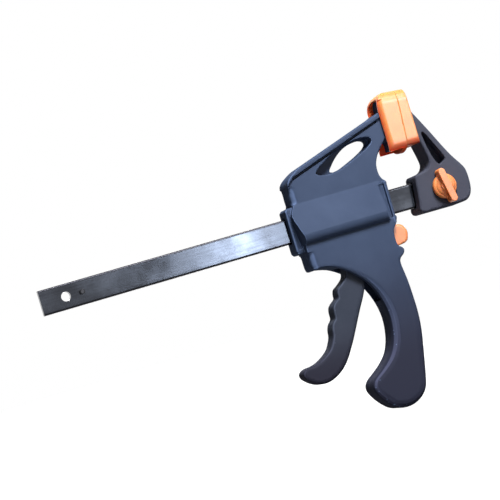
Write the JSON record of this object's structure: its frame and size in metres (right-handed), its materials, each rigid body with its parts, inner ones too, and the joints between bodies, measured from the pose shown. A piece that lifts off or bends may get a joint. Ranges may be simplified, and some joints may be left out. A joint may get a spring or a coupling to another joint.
{
  "type": "quick release bar clamp",
  "caption": "One-handed quick release bar clamp: flat steel bar, pistol-grip sliding jaw with trigger and release button, fixed jaw with wing lock, soft pads.",
  "frame": {"origin": "on the bar's centre line, in the clamping plane where the two pads meet when the jaws are closed", "axes": "+X along the bar towards the fixed jaw, +Y towards the back of the clamp as seen with the fixed jaw on the right, +Z from the bar up to the tips of the jaws; the grip hangs towards -Z"},
  "size_m": [0.287, 0.0342, 0.1965],
  "materials": {
    "bar_steel": "dark, brushed along the bar",
    "pin_steel": "plain steel",
    "black_steel": "blackened",
    "spring_steel": "bright wire",
    "housing_plastic": "slate blue, satin with a fine grain",
    "jaw_plastic": "slate grey, satin with a fine grain",
    "orange_rubber": "soft, satin",
    "orange_plastic": "moulded, semi-gloss"
  },
  "bodies": {
    "bar_assembly": {"bar": "bar_steel", "stop_pin": "black_steel", "fixed_jaw": "jaw_plastic", "fixed_jaw_pad": "orange_rubber", "jaw_lock_washer": "pin_steel"},
    "housing": {"housing_front_shell": "housing_plastic", "housing_rear_shell": "housing_plastic", "housing_screws": "pin_steel", "moving_jaw_pad": "orange_rubber", "trigger_pivot_pin": "pin_steel", "drive_spring": "spring_steel", "brake_spring": "spring_steel"},
    "trigger": {"trigger": "housing_plastic"},
    "drive": {"drive_plate": "pin_steel"},
    "release": {"brake_plate": "pin_steel", "release_button": "orange_plastic", "button_rivet": "pin_steel"},
    "jaw_lock": {"jaw_lock_knob": "orange_plastic", "jaw_lock_pin": "pin_steel", "jaw_lock_clip": "black_steel"}
  },
  "joints": [
    {"name": "jaw_slide", "type": "slide", "parent": "bar_assembly", "child": "housing", "axis": [-1, 0, 0], "range_m": [0, 0.134]},
    {"name": "trigger_pivot", "type": "hinge", "parent": "housing", "child": "trigger", "pos_m": [-0.058, 0, -0.022], "axis": [0, -1, 0], "range_deg": [0, 17], "stiffness_Nm_per_rad": 0.6, "springref_deg": -14.32},
    {"name": "drive_plate_slide", "type": "slide", "parent": "housing", "child": "drive", "axis": [-1, 0, 0], "range_m": [0, 0.0032], "deforming": ["drive_spring"]},
    {"name": "release_pivot", "type": "hinge", "parent": "housing", "child": "release", "pos_m": [-0.033, 0, 0.0145], "axis": [0, 1, 0], "range_deg": [0, 5], "stiffness_Nm_per_rad": 0.6, "springref_deg": -5.73, "deforming": ["brake_spring"]},
    {"name": "jaw_lock_turn", "type": "hinge", "parent": "bar_assembly", "child": "jaw_lock", "pos_m": [0.0145, 0, 0], "axis": [0, -1, 0], "range_deg": [0, 90]}
  ],
  "couplings": [
    {"joint": "drive_plate_slide", "follows": "trigger_pivot", "m_per_rad": 0.01}
  ]
}
